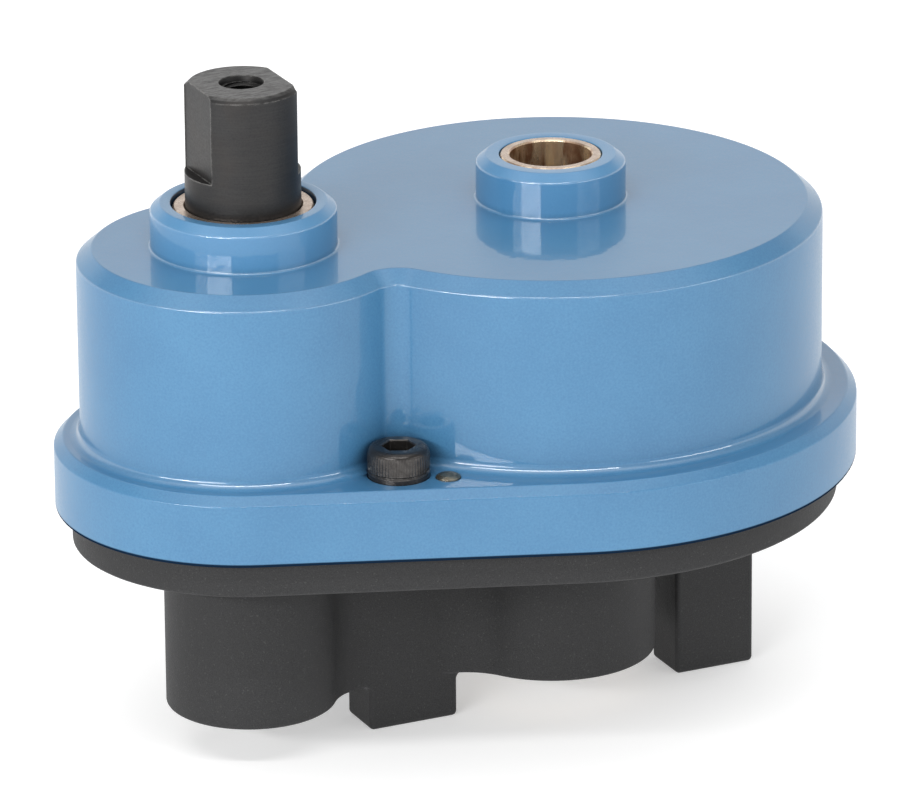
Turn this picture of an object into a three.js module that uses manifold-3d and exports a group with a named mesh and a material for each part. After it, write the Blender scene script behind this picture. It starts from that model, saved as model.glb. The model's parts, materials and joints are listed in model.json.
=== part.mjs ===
// Offset parallel-shaft gearbox with two upright axes.
// A solid output shaft with two flats stands in the small lobe. A hollow drive hub with a keyed
// through bore turns in the large lobe, and takes the customer's drive shaft from below.
// Millimetres, +Z up. Z = 0 is the underside of the two torque lugs that the gearbox stands on.
// X runs from the output axis to the drive axis, and the X-Z plane is the plane of symmetry.
import * as THREE from "three";
import { mergeVertices } from "three/addons/utils/BufferGeometryUtils.js";
import Module from "manifold-3d";

const wasm = await Module();
wasm.setup();

// ---------- driving dimensions ----------
const CENTRES = 65;                 // output axis to drive axis
const MODULE = 2;                   // gear module
const GEAR_TEETH = 42;
const PINION_TEETH = 2 * CENTRES / MODULE - GEAR_TEETH;
const BACKLASH = 0.3;
const PRESSURE_ANGLE = THREE.MathUtils.degToRad(20);

const BOSS_BOTTOM_Z = 9.2;          // undersides of both base bosses and of the web
const PLATE_BOTTOM_Z = 43.5;
const SEAM_Z = 50.75;               // underside of the cover's flange
const FLANGE_TOP_Z = 64.8;
const LOBE_TOP_Z = 102.6;
const COVER_BOSS_TOP_Z = 111.5;
const FLATS_BOTTOM_Z = 117.8;
const SHAFT_TOP_Z = 135.2;

const FLANGE_R = { drive: 59.7, output: 37.3 };
const LOBE_R = { drive: 52.8, output: 32.2 };
const PLATE_R = { drive: 56, output: 34.1 };
const COVER_BOSS_R = { drive: 14.55, output: 17.9 };
const BASE_BOSS_R = { drive: 20.4, output: 16.7 };
const COVER_WALL = 5;
const GASKET_THICKNESS = 0.5;
const WAIST_FILLET = 4.3;

const FLANGE_CHAMFER = { size: 1.75, height: 1.8 };
const LOBE_CHAMFER = { size: 3, height: 2.5 };
const BOSS_CHAMFER = { size: 1.9, height: 1.5 };

const SHAFT_R = 11.11;              // 7/8 inch shaft
const FLATS = { outer: 9, inner: 8.1 };            // from the shaft's axis to each of its flats
const SHAFT_CHAMFER = 1;
const TAPPED_R = 3.3;               // minor radius of the 5/16-18 thread in the shaft's end
const TAPPED_DEPTH = 22;
const COUNTERSINK_R = 4.2;

const HUB_BORE_R = 7.95;            // takes a 5/8 inch drive shaft
const HUB_R = 12.9;
const KEY = 4.76;                   // 3/16 inch square keys
const HUB_COLLAR_R = 17.5;
const OUTER_KEY = { outside: 1.6, inside: 1.4 };   // how far it stands out of the hub and into it
const KEY_END = 1;                  // how much shorter a key is than its slot, at each end
const KEY_ROOM = 0.05;              // clearance of a key in its slot
const RUNNING = 0.1;                // radial clearance where a shaft turns in a bush
const SEATED = 0.02;                // clearance between pieces that are pressed or slid together
const AXIAL = 0.3;                  // end clearance along each axis

const GEAR_FACE = { low: 59.8, high: 84 };
const GEAR_RECESS = { inner: 20.9, outer: 34, depth: 6 };
const PINION_OVERHANG = 0.8;        // how far the pinion's teeth run past the gear's
const PINION_HUB_R = 17;
const PINION_ROOF_GAP = 4;

const SHAFT_BUSH_R = 13.5;
const HUB_BUSH_R = 16.5;
const PILOT_BUSH_R = 9.84;
const BUSH_RECESS = 0.6;            // the output bush's end below its boss
const BUSH_SETBACK = 0.2;           // a bush's end behind the face that it's pressed in from
const BUSH_STOP = 0.5;              // a base bush's lower end above the face below it
const BUSH_PROUD = 0.4;             // how far a cover bush stands out under the roof
const WASHER = { thickness: 1.8, room: 0.2, shaftWidth: 5, hubWidth: 4.8 };
const WASHER_LIFT = 0.2;            // the lower washers' height above the base

const RING = { thickness: 1.2, play: 0.12, side: 0.05, shaftReach: 3.4, hubReach: 3.6 };
const RING_OPENING = THREE.MathUtils.degToRad(28);
const RING_GAP = 0.1;               // between a retaining ring and the piece that it holds
const GROOVE_DEPTH = { shaft: 0.6, hub: 0.7 };

const POCKET_FLOOR = 5;             // casting left under the output shaft
const SHAFT_LIFT = 1.6;             // the output shaft's end above that floor
const HUB_LIFT = 1;                 // the drive hub's end inside the base
const HUB_ROOF_GAP = 0.6;
const INNER_BOSS = { wall: 4, gap: 3.8 };          // boss under the roof, and its gap to the gear
const GASKET_INSET = 0.8;

const LUG_THICKNESS = 11.1;
const WEB_LUG = { offset: -32.75, width: 18.8 };   // from the drive axis, under the web
const END_LUG = { offset: 33.3, width: 17.1 };     // beyond the drive boss
const WEB_FILLET = { drive: 13, output: 10 };      // between the web and each base boss

const SCREW = { x: -49, y: 35, headR: 5.95, headHeight: 7.94, shankR: 3.9, hex: 5.7, seat: 1.9 };
const SCREW_ROOM = { cover: 0.3, base: 0.1, head: 0.2 };
const SCREW_EDGE = 0.5;
const DOWEL = { x: -41.1, y: 40.3, radius: 2.38, lift: 1, recess: 0.5 };
const GASKET_DOWEL_ROOM = 0.2;

// ---------- derived dimensions ----------
const DRIVE_X = (FLANGE_R.output + CENTRES - FLANGE_R.drive) / 2;
const OUTPUT_X = DRIVE_X - CENTRES;
const BASE_TOP_Z = SEAM_Z - GASKET_THICKNESS;
const ROOF_Z = LOBE_TOP_Z - COVER_WALL;
const CAVITY_R = { drive: LOBE_R.drive - COVER_WALL, output: LOBE_R.output - COVER_WALL };
const POCKET_Z = BOSS_BOTTOM_Z + POCKET_FLOOR;
const SCREW_SEAT_Z = FLANGE_TOP_Z - SCREW.seat;

const WASHER_LOW_Z = BASE_TOP_Z + WASHER_LIFT;
const STACK_LOW_Z = WASHER_LOW_Z + WASHER.thickness + AXIAL;
const INNER_BOSS_Z = GEAR_FACE.high + INNER_BOSS.gap;
const PINION_LOW_Z = STACK_LOW_Z + RING.thickness + RING_GAP;
const PINION_HIGH_Z = ROOF_Z - PINION_ROOF_GAP;
const SHAFT_RING_Z = { lower: STACK_LOW_Z, upper: PINION_HIGH_Z + RING_GAP };
const HUB_RING_Z = GEAR_FACE.high + RING_GAP;
const SHAFT_GROOVE_R = SHAFT_R - GROOVE_DEPTH.shaft;
const HUB_GROOVE_R = HUB_R - GROOVE_DEPTH.hub;

// ---------- facets ----------
const ROUND = 32;                   // sides of a piece that turns, and of the bore it turns in
const SMALL_ROUND = 20;             // sides of screws, pins and their holes
const BELT_STEPS = { drive: 34, output: 16 };
const WAIST_STEPS = { drive: 18, output: 12, fillet: 2, webFillet: 5 };
const RING_STEPS = 28;

const PAST = 1;                     // how far a cut or a joined piece runs past a face

// ---------- solids ----------
function solid(geometry) {
  const bare = geometry.clone();
  bare.deleteAttribute("normal");
  bare.deleteAttribute("uv");
  const merged = mergeVertices(bare, 1e-4);
  const vertProperties = new Float32Array(merged.attributes.position.array);
  const triVerts = new Uint32Array(merged.index.array);
  return new wasm.Manifold(new wasm.Mesh({ numProp: 3, vertProperties, triVerts }));
}

function toGeometry(body) {
  const mesh = body.getMesh();
  const geometry = new THREE.BufferGeometry();
  geometry.setAttribute("position", new THREE.BufferAttribute(mesh.vertProperties, 3));
  geometry.setIndex(new THREE.BufferAttribute(mesh.triVerts, 1));
  return geometry;
}

const union = (first, ...others) => others.reduce((whole, next) => whole.add(next), first);
const cut = (first, ...others) => others.reduce((whole, next) => whole.subtract(next), first);

// A solid of revolution about an upright axis. The profile is a list of [radius, z] from the
// bottom to the top, and it closes on the axis, or on itself where the piece is a ring.
function turned(x, y, profile, sides = ROUND) {
  const points = profile.map(([r, z]) => new THREE.Vector2(r, z));
  const geometry = new THREE.LatheGeometry(points, sides);
  return solid(geometry.rotateX(Math.PI / 2).translate(x, y, 0));
}

const cylinder = (x, y, r, low, high, sides) =>
  turned(x, y, [[0, low], [r, low], [r, high], [0, high]], sides);

const ring = (x, inner, outer, low, high, sides) =>
  turned(x, 0, [[inner, low], [outer, low], [outer, high], [inner, high], [inner, low]], sides);

function block(x0, x1, y0, y1, z0, z1) {
  const geometry = new THREE.BoxGeometry(x1 - x0, y1 - y0, z1 - z0);
  return solid(geometry.translate((x0 + x1) / 2, (y0 + y1) / 2, (z0 + z1) / 2));
}

// ---------- outlines ----------
function arc(cx, cy, r, from, to, steps) {
  return Array.from({ length: steps + 1 }, (_, i) => {
    const angle = from + (to - from) * i / steps;
    return new THREE.Vector2(cx + r * Math.cos(angle), cy + r * Math.sin(angle));
  });
}

const mirrored = (points) => points.map((p) => new THREE.Vector2(p.x, -p.y)).reverse();

// Drops each point that repeats the one before it, round the closed outline.
const distinct = (points) =>
  points.filter((p, i) => p.distanceTo(points.at(i - 1)) > 1e-3);

// The tight outline of one circle on each axis, like a belt round two pulleys.
function belt(radius) {
  const lean = Math.acos((radius.output - radius.drive) / CENTRES);
  return distinct([
    ...arc(DRIVE_X, 0, radius.drive, -lean, lean, BELT_STEPS.drive),
    ...arc(OUTPUT_X, 0, radius.output, lean, 2 * Math.PI - lean, BELT_STEPS.output),
  ]);
}

// The upper half of an outline of one circle on each axis, joined by two fillets. Each fillet has
// its centre at [x, height] and its own radius.
function bridged(radius, driveFillet, outputFillet, steps) {
  const driveAngle = Math.atan2(driveFillet.y, DRIVE_X - driveFillet.x);
  const outputAngle = Math.atan2(outputFillet.y, outputFillet.x - OUTPUT_X);
  const down = -Math.PI / 2;
  const upper = [
    ...arc(DRIVE_X, 0, radius.drive, 0, Math.PI - driveAngle, WAIST_STEPS.drive),
    ...arc(driveFillet.x, driveFillet.y, driveFillet.r, -driveAngle, down, steps),
    ...arc(outputFillet.x, outputFillet.y, outputFillet.r, down, outputAngle - Math.PI, steps),
    ...arc(OUTPUT_X, 0, radius.output, outputAngle, Math.PI, WAIST_STEPS.output),
  ];
  return distinct([...upper, ...mirrored(upper)]);
}

// Two circles that meet, with one fillet in each corner of their waist.
function waisted(radius, r) {
  const driveReach = radius.drive + r;
  const outputReach = radius.output + r;
  const driveSide = (driveReach ** 2 - outputReach ** 2 + CENTRES ** 2) / (2 * CENTRES);
  const fillet = { x: DRIVE_X - driveSide, y: Math.sqrt(driveReach ** 2 - driveSide ** 2), r };
  return bridged(radius, fillet, fillet, WAIST_STEPS.fillet);
}

// Two circles joined by a straight web of the given half thickness.
function webbed(radius, fillet, halfWeb) {
  const side = (lobe) =>
    Math.sqrt((radius[lobe] + fillet[lobe]) ** 2 - (halfWeb + fillet[lobe]) ** 2);
  const drive = { x: DRIVE_X - side("drive"), y: halfWeb + fillet.drive, r: fillet.drive };
  const output = { x: OUTPUT_X + side("output"), y: halfWeb + fillet.output, r: fillet.output };
  return bridged(radius, drive, output, WAIST_STEPS.webFillet);
}

function slab(outline, low, high, holes = []) {
  const shape = new THREE.Shape(outline);
  shape.holes = holes.map((hole) => new THREE.Path(hole));
  const options = { depth: high - low, bevelEnabled: false };
  return solid(new THREE.ExtrudeGeometry(shape, options).translate(0, 0, low));
}

// A slab with a chamfer round its top edge only: the lower bevel is cut away.
function chamferedSlab(outline, low, high, chamfer) {
  const { size, height } = chamfer;
  const options = {
    depth: high - low - height,
    bevelThickness: height,
    bevelSize: size,
    bevelOffset: -size,
    bevelSegments: 1,
  };
  const geometry = new THREE.ExtrudeGeometry(new THREE.Shape(outline), options);
  const reach = 2 * CENTRES;
  const below = block(-reach, reach, -reach, reach, low - 2 * height, low);
  return cut(solid(geometry.translate(0, 0, low)), below);
}

const circle = (x, y, r, steps) => distinct(arc(x, y, r, 0, 2 * Math.PI, steps));

// ---------- gears ----------
const involute = (angle) => Math.tan(angle) - angle;

// One flank from the root to the tip, as [radius, angle from the tooth's centre line].
function flank(teeth) {
  const pitch = MODULE * teeth / 2;
  const base = pitch * Math.cos(PRESSURE_ANGLE);
  const root = pitch - 1.25 * MODULE;
  const tip = pitch + MODULE;
  const halfTooth = (Math.PI * MODULE - BACKLASH) / (4 * pitch) + involute(PRESSURE_ANGLE);
  const start = Math.max(base, root);
  const points = [start, (start + tip) / 2, tip].map((r) =>
    [r, halfTooth - involute(Math.acos(Math.min(1, base / r)))]);
  return root < base ? [[root, points[0][1]], ...points] : points;
}

function gearOutline(x, teeth, firstTooth) {
  const side = flank(teeth);
  const points = [];
  for (let tooth = 0; tooth < teeth; tooth += 1) {
    const centre = firstTooth + 2 * Math.PI * tooth / teeth;
    const rising = side.map(([r, angle]) => [r, centre - angle]);
    const falling = side.map(([r, angle]) => [r, centre + angle]).reverse();
    for (const [r, angle] of [...rising, ...falling]) {
      points.push(new THREE.Vector2(x + r * Math.cos(angle), r * Math.sin(angle)));
    }
  }
  return points;
}

// ---------- fixed pieces ----------
const sides = [1, -1];
const screwPlaces = sides.map((side) => ({ x: DRIVE_X + SCREW.x, y: side * SCREW.y }));
const dowelPlaces = sides.map((side) => ({ x: DRIVE_X + DOWEL.x, y: side * DOWEL.y }));

function chamferedBoss(x, r) {
  const profile = [
    [0, ROOF_Z + PAST],
    [r, ROOF_Z + PAST],
    [r, COVER_BOSS_TOP_Z - BOSS_CHAMFER.height],
    [r - BOSS_CHAMFER.size, COVER_BOSS_TOP_Z],
    [0, COVER_BOSS_TOP_Z],
  ];
  return turned(x, 0, profile);
}

function coverHousing() {
  const lobes = waisted(LOBE_R, WAIST_FILLET);
  const outside = union(
    chamferedSlab(belt(FLANGE_R), SEAM_Z, FLANGE_TOP_Z, FLANGE_CHAMFER),
    chamferedSlab(lobes, SEAM_Z + PAST, LOBE_TOP_Z, LOBE_CHAMFER),
    chamferedBoss(DRIVE_X, COVER_BOSS_R.drive),
    chamferedBoss(OUTPUT_X, COVER_BOSS_R.output),
  );
  const innerBoss =
    cylinder(DRIVE_X, 0, HUB_BUSH_R + INNER_BOSS.wall, INNER_BOSS_Z, ROOF_Z + PAST);
  const cavity = cut(slab(waisted(CAVITY_R, WAIST_FILLET), SEAM_Z - PAST, ROOF_Z), innerBoss);
  const above = COVER_BOSS_TOP_Z + PAST;
  const bores = [
    cylinder(DRIVE_X, 0, HUB_BUSH_R + SEATED, INNER_BOSS_Z - PAST, ROOF_Z),
    cylinder(DRIVE_X, 0, PILOT_BUSH_R + SEATED, ROOF_Z - PAST, above),
    cylinder(OUTPUT_X, 0, SHAFT_BUSH_R + SEATED, ROOF_Z - PAST, above),
  ];
  const below = SEAM_Z - PAST;
  const open = FLANGE_TOP_Z + PAST;
  const screwHoles = screwPlaces.flatMap(({ x, y }) => [
    cylinder(x, y, SCREW.shankR + SCREW_ROOM.cover, below, SCREW_SEAT_Z + PAST, SMALL_ROUND),
    cylinder(x, y, SCREW.headR + SCREW_ROOM.head, SCREW_SEAT_Z, open, SMALL_ROUND),
  ]);
  const dowelHoles = dowelPlaces.map(({ x, y }) =>
    cylinder(x, y, DOWEL.radius + SEATED, below, open, SMALL_ROUND));
  return cut(outside, cavity, ...bores, ...screwHoles, ...dowelHoles);
}

function baseHousing() {
  const deep = LUG_THICKNESS / 2;
  const lug = ({ offset, width }) => {
    const x = DRIVE_X + offset;
    return block(x - width / 2, x + width / 2, -deep, deep, 0, PLATE_BOTTOM_Z + PAST);
  };
  const bosses = webbed(BASE_BOSS_R, WEB_FILLET, deep);
  const outside = union(
    slab(belt(PLATE_R), PLATE_BOTTOM_Z, BASE_TOP_Z),
    slab(bosses, BOSS_BOTTOM_Z, PLATE_BOTTOM_Z + PAST),
    lug(WEB_LUG),
    lug(END_LUG),
  );
  const above = BASE_TOP_Z + PAST;
  const below = PLATE_BOTTOM_Z - PAST;
  const bores = [
    cylinder(DRIVE_X, 0, HUB_BUSH_R + SEATED, BOSS_BOTTOM_Z - PAST, above),
    cylinder(OUTPUT_X, 0, SHAFT_BUSH_R + SEATED, POCKET_Z, above),
  ];
  const screwHoles = screwPlaces.map(({ x, y }) =>
    cylinder(x, y, SCREW.shankR + SCREW_ROOM.base, below, above, SMALL_ROUND));
  const dowelHoles = dowelPlaces.map(({ x, y }) =>
    cylinder(x, y, DOWEL.radius + SEATED, below, above, SMALL_ROUND));
  return cut(outside, ...bores, ...screwHoles, ...dowelHoles);
}

function housingGasket() {
  const outline = belt({
    drive: PLATE_R.drive - GASKET_INSET,
    output: PLATE_R.output - GASKET_INSET,
  });
  const holes = [
    waisted(CAVITY_R, WAIST_FILLET),
    ...screwPlaces.map(({ x, y }) => circle(x, y, SCREW.shankR + SCREW_ROOM.cover, SMALL_ROUND)),
    ...dowelPlaces.map(({ x, y }) => circle(x, y, DOWEL.radius + GASKET_DOWEL_ROOM, SMALL_ROUND)),
  ];
  return slab(outline, BASE_TOP_Z, SEAM_Z, holes);
}

function coverScrew({ x, y }) {
  const tip = PLATE_BOTTOM_Z + SCREW_EDGE;
  const top = SCREW_SEAT_Z + SCREW.headHeight;
  const profile = [
    [0, tip],
    [SCREW.shankR, tip],
    [SCREW.shankR, SCREW_SEAT_Z],
    [SCREW.headR, SCREW_SEAT_Z],
    [SCREW.headR, top - SCREW_EDGE],
    [SCREW.headR - SCREW_EDGE, top],
    [0, top],
  ];
  const socketDepth = SCREW.headHeight / 2;
  const socket = cylinder(x, y, SCREW.hex / Math.sqrt(3), top - socketDepth, top + PAST, 6);
  return cut(turned(x, y, profile, SMALL_ROUND), socket);
}

const dowelPin = ({ x, y }) => {
  const low = PLATE_BOTTOM_Z + DOWEL.lift;
  return cylinder(x, y, DOWEL.radius, low, FLANGE_TOP_Z - DOWEL.recess, SMALL_ROUND);
};

const shaftBush = (low, high) => ring(OUTPUT_X, SHAFT_R + RUNNING, SHAFT_BUSH_R, low, high);
const hubBush = (low, high) => ring(DRIVE_X, HUB_R + RUNNING, HUB_BUSH_R, low, high);

const shaftBaseBush = () => shaftBush(POCKET_Z + BUSH_STOP, BASE_TOP_Z - BUSH_SETBACK);
const shaftCoverBush = () => shaftBush(ROOF_Z - BUSH_PROUD, COVER_BOSS_TOP_Z - BUSH_RECESS);
const hubBaseBush = () => hubBush(BOSS_BOTTOM_Z + BUSH_STOP, BASE_TOP_Z - BUSH_SETBACK);
const hubCoverBush = () => hubBush(INNER_BOSS_Z + BUSH_SETBACK, ROOF_Z - BUSH_PROUD);
const pilotBush = () =>
  ring(DRIVE_X, HUB_BORE_R, PILOT_BUSH_R, ROOF_Z + BUSH_SETBACK, COVER_BOSS_TOP_Z);

// ---------- output shaft and what turns with it ----------
// Most of a ring, open on the side away from the keyway.
function retainingRing(x, grooveR, outer, low) {
  const from = Math.PI + RING_OPENING / 2;
  const to = 3 * Math.PI - RING_OPENING / 2;
  const outline = [
    ...arc(x, 0, outer, from, to, RING_STEPS),
    ...arc(x, 0, grooveR + RING.play, to, from, RING_STEPS),
  ];
  return slab(outline, low, low + RING.thickness);
}

const groove = (x, r, low) =>
  ring(x, r, r + GROOVE_DEPTH.hub + PAST, low - RING.side, low + RING.thickness + RING.side);

function outputShaft() {
  const beyond = SHAFT_R + PAST;
  const low = POCKET_Z + SHAFT_LIFT;
  const profile = [
    [0, low],
    [SHAFT_R - SHAFT_CHAMFER, low],
    [SHAFT_R, low + SHAFT_CHAMFER],
    [SHAFT_R, SHAFT_TOP_Z - SHAFT_CHAMFER],
    [SHAFT_R - SHAFT_CHAMFER, SHAFT_TOP_Z],
    [0, SHAFT_TOP_Z],
  ];
  const tapped = [
    [0, SHAFT_TOP_Z - TAPPED_DEPTH],
    [TAPPED_R, SHAFT_TOP_Z - TAPPED_DEPTH + TAPPED_R / 2],
    [TAPPED_R, SHAFT_TOP_Z - COUNTERSINK_R + TAPPED_R],
    [COUNTERSINK_R + PAST, SHAFT_TOP_Z + PAST],
    [0, SHAFT_TOP_Z + PAST],
  ];
  const flat = (from, to) =>
    block(OUTPUT_X + from, OUTPUT_X + to, -beyond, beyond, FLATS_BOTTOM_Z, SHAFT_TOP_Z + PAST);
  return cut(
    turned(OUTPUT_X, 0, profile),
    turned(OUTPUT_X, 0, tapped, SMALL_ROUND),
    keySlot(OUTPUT_X + SHAFT_R, GEAR_FACE),
    groove(OUTPUT_X, SHAFT_GROOVE_R, SHAFT_RING_Z.lower),
    groove(OUTPUT_X, SHAFT_GROOVE_R, SHAFT_RING_Z.upper),
    flat(-beyond, -FLATS.outer),
    flat(FLATS.inner, beyond),
  );
}

// A key lies half in its shaft and half in its gear, on the +X side of the axis.
const keyAt = (surfaceX, { low, high }, room) =>
  block(surfaceX - KEY / 2 - room, surfaceX + KEY / 2 + room, -KEY / 2 - room, KEY / 2 + room,
    low - room, high + room);
const keySlot = (surfaceX, span) => keyAt(surfaceX, span, KEY_ROOM);
const shortened = ({ low, high }) => ({ low: low + KEY_END, high: high - KEY_END });
const through = (low, high) => ({ low: low - PAST, high: high + PAST });
const pinionKey = () => keyAt(OUTPUT_X + SHAFT_R, shortened(GEAR_FACE), 0);

function outputPinion() {
  const outline = gearOutline(OUTPUT_X, PINION_TEETH, Math.PI / PINION_TEETH);
  const teeth = slab(outline, GEAR_FACE.low - PINION_OVERHANG, GEAR_FACE.high + PINION_OVERHANG);
  const hub = cylinder(OUTPUT_X, 0, PINION_HUB_R, PINION_LOW_Z, PINION_HIGH_Z);
  const span = through(PINION_LOW_Z, PINION_HIGH_Z);
  const bore = cylinder(OUTPUT_X, 0, SHAFT_R + SEATED, span.low, span.high);
  return cut(union(teeth, hub), bore, keySlot(OUTPUT_X + SHAFT_R, span));
}

const shaftRing = (low) =>
  retainingRing(OUTPUT_X, SHAFT_GROOVE_R, SHAFT_R + RING.shaftReach, low);
const washer = (x, r, width, low) =>
  ring(x, r + WASHER.room, r + width, low, low + WASHER.thickness);
const shaftWasher = (low) => washer(OUTPUT_X, SHAFT_R, WASHER.shaftWidth, low);

// ---------- drive hub and what turns with it ----------
function driveHub() {
  const low = BOSS_BOTTOM_Z + HUB_LIFT;
  const high = ROOF_Z - HUB_ROOF_GAP;
  const shoulder = GEAR_FACE.low - RING_GAP;
  const profile = [
    [HUB_BORE_R, low],
    [HUB_R, low],
    [HUB_R, STACK_LOW_Z],
    [HUB_COLLAR_R, STACK_LOW_Z],
    [HUB_COLLAR_R, shoulder],
    [HUB_R, shoulder],
    [HUB_R, high],
    [HUB_BORE_R, high],
    [HUB_BORE_R, low],
  ];
  return cut(
    turned(DRIVE_X, 0, profile),
    keySlot(DRIVE_X + HUB_BORE_R, through(low, high)),
    groove(DRIVE_X, HUB_GROOVE_R, HUB_RING_Z),
    outerKeySlot(GEAR_FACE),
  );
}

// The gear's key lies on the -X side of the hub, opposite the keyway in the bore. It is flat,
// because the hub's wall is thin.
const outerKey = ({ low, high }, room) =>
  block(DRIVE_X - HUB_R - OUTER_KEY.outside - room, DRIVE_X - HUB_R + OUTER_KEY.inside + room,
    -KEY / 2 - room, KEY / 2 + room, low - room, high + room);
const outerKeySlot = (span) => outerKey(span, KEY_ROOM);
const gearKey = () => outerKey(shortened(GEAR_FACE), 0);

function driveGear() {
  const { low, high } = GEAR_FACE;
  const blank = slab(gearOutline(DRIVE_X, GEAR_TEETH, Math.PI), low, high);
  const bore = cylinder(DRIVE_X, 0, HUB_R + SEATED, low - PAST, high + PAST);
  const recess = (from, to) => ring(DRIVE_X, GEAR_RECESS.inner, GEAR_RECESS.outer, from, to);
  return cut(
    blank,
    bore,
    recess(low - PAST, low + GEAR_RECESS.depth),
    recess(high - GEAR_RECESS.depth, high + PAST),
    outerKeySlot(through(low, high)),
  );
}

const hubRing = () => retainingRing(DRIVE_X, HUB_GROOVE_R, HUB_R + RING.hubReach, HUB_RING_Z);
const hubWasher = (low) => washer(DRIVE_X, HUB_R, WASHER.hubWidth, low);

// ---------- the assembly ----------
const FINISH = {
  enamel: { color: 0x5f93c2, roughness: 0.22, metalness: 0 },
  blackCasting: { color: 0x2b2c2e, roughness: 0.75, metalness: 0.1 },
  blackOxide: { color: 0x464749, roughness: 0.42, metalness: 0.7 },
  bronze: { color: 0xc79a6b, roughness: 0.35, metalness: 0.9 },
  steel: { color: 0x8b8d90, roughness: 0.35, metalness: 0.9 },
  springSteel: { color: 0x33363a, roughness: 0.4, metalness: 0.8 },
  screwBlack: { color: 0x2a2625, roughness: 0.4, metalness: 0.6 },
  gasketPaper: { color: 0x2f2d2a, roughness: 0.9, metalness: 0 },
  dowelBrass: { color: 0x6d6444, roughness: 0.5, metalness: 0.6 },
};

const gearbox = new THREE.Group();

function add(name, body, finish) {
  const mesh = new THREE.Mesh(toGeometry(body), new THREE.MeshStandardMaterial(FINISH[finish]));
  mesh.name = name;
  gearbox.add(mesh);
}

add("cover_housing", coverHousing(), "enamel");
add("base_housing", baseHousing(), "blackCasting");
add("housing_gasket", housingGasket(), "gasketPaper");
["rear", "front"].forEach((place, i) => {
  add(`cover_screw_${place}`, coverScrew(screwPlaces[i]), "screwBlack");
  add(`dowel_pin_${place}`, dowelPin(dowelPlaces[i]), "dowelBrass");
});
add("shaft_base_bush", shaftBaseBush(), "bronze");
add("shaft_cover_bush", shaftCoverBush(), "bronze");
add("hub_base_bush", hubBaseBush(), "bronze");
add("hub_cover_bush", hubCoverBush(), "bronze");
add("pilot_bush", pilotBush(), "bronze");
add("shaft_washer_lower", shaftWasher(WASHER_LOW_Z), "bronze");
add("shaft_washer_upper", shaftWasher(SHAFT_RING_Z.upper + RING.thickness + AXIAL), "bronze");
add("hub_washer_lower", hubWasher(WASHER_LOW_Z), "bronze");
add("hub_washer_upper", hubWasher(HUB_RING_Z + RING.thickness + AXIAL), "bronze");
add("output_shaft", outputShaft(), "blackOxide");
add("output_pinion", outputPinion(), "steel");
add("pinion_key", pinionKey(), "steel");
add("shaft_ring_lower", shaftRing(SHAFT_RING_Z.lower), "springSteel");
add("shaft_ring_upper", shaftRing(SHAFT_RING_Z.upper), "springSteel");
add("drive_hub", driveHub(), "steel");
add("drive_gear", driveGear(), "steel");
add("gear_key", gearKey(), "steel");
add("hub_ring", hubRing(), "springSteel");

export default gearbox;
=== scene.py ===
"""The finished looks of an offset parallel-shaft gearbox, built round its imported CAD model.

Places come from the frame's boxes, joints and mounts, apart from a few heights that are named
below. Lengths are in millimetres, which the mesh builder turns into metres, except where a
comment says metres.
"""
import json
import math

import bmesh
import bpy
from mathutils import Matrix, Vector
from mathutils.geometry import tessellate_polygon


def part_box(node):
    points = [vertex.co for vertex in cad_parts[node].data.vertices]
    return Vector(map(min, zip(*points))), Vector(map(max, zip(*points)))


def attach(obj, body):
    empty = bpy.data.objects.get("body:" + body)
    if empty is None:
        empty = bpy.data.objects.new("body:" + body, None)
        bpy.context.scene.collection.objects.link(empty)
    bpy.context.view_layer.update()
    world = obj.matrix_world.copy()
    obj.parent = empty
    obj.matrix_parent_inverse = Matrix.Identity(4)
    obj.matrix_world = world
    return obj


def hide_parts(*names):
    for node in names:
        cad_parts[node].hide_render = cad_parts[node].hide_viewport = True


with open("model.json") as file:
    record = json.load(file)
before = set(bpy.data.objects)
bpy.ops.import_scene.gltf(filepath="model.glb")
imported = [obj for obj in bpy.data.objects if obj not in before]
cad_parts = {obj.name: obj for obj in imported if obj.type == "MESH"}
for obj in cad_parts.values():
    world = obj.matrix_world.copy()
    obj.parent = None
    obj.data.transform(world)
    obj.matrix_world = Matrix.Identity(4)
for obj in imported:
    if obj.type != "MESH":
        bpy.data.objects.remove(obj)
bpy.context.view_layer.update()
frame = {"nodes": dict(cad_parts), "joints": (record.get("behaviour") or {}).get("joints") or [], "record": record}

MM = 0.001


# ---------- places and sizes taken from the frame, in millimetres ----------
def joint_x(name):
    """Where a joint's upright axis stands along X."""
    return next(j["pos_m"][0] for j in frame["joints"] if j["name"] == name) / MM


def mount(name):
    """A mount's place."""
    return Vector(next(m["pos_m"] for m in frame["record"]["mounts"] if m["name"] == name)) / MM


def box(node):
    """The lowest and the highest corner of a node's box."""
    low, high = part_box(node)
    return low / MM, high / MM


def centre(node):
    low, high = box(node)
    return (low + high) / 2


def radius(node):
    """Half of a round node's extent across Y."""
    low, high = box(node)
    return (high.y - low.y) / 2


DRIVE_X = joint_x("drive_spin")
OUTPUT_X = joint_x("output_spin")
CENTRES = DRIVE_X - OUTPUT_X

COVER_LOW, COVER_HIGH = box("cover_housing")
BASE_LOW, BASE_HIGH = box("base_housing")
SHAFT_LOW, SHAFT_HIGH = box("output_shaft")
SEAM_Z = COVER_LOW.z
BOSS_TOP_Z = COVER_HIGH.z
LOBE_TOP_Z = mount("cover_top_face").z
BOSS_BOTTOM_Z = mount("drive_boss_face").z
FLANGE_R = (COVER_HIGH.x - DRIVE_X, OUTPUT_X - COVER_LOW.x)
PLATE_R = (BASE_HIGH.x - DRIVE_X, OUTPUT_X - BASE_LOW.x)
LUG_HALF = -mount("torque_lug_drive_end").y
WEB_LUG_X = mount("lug_foot_output_end").x
END_LUG_X = mount("lug_foot_drive_end").x

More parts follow.
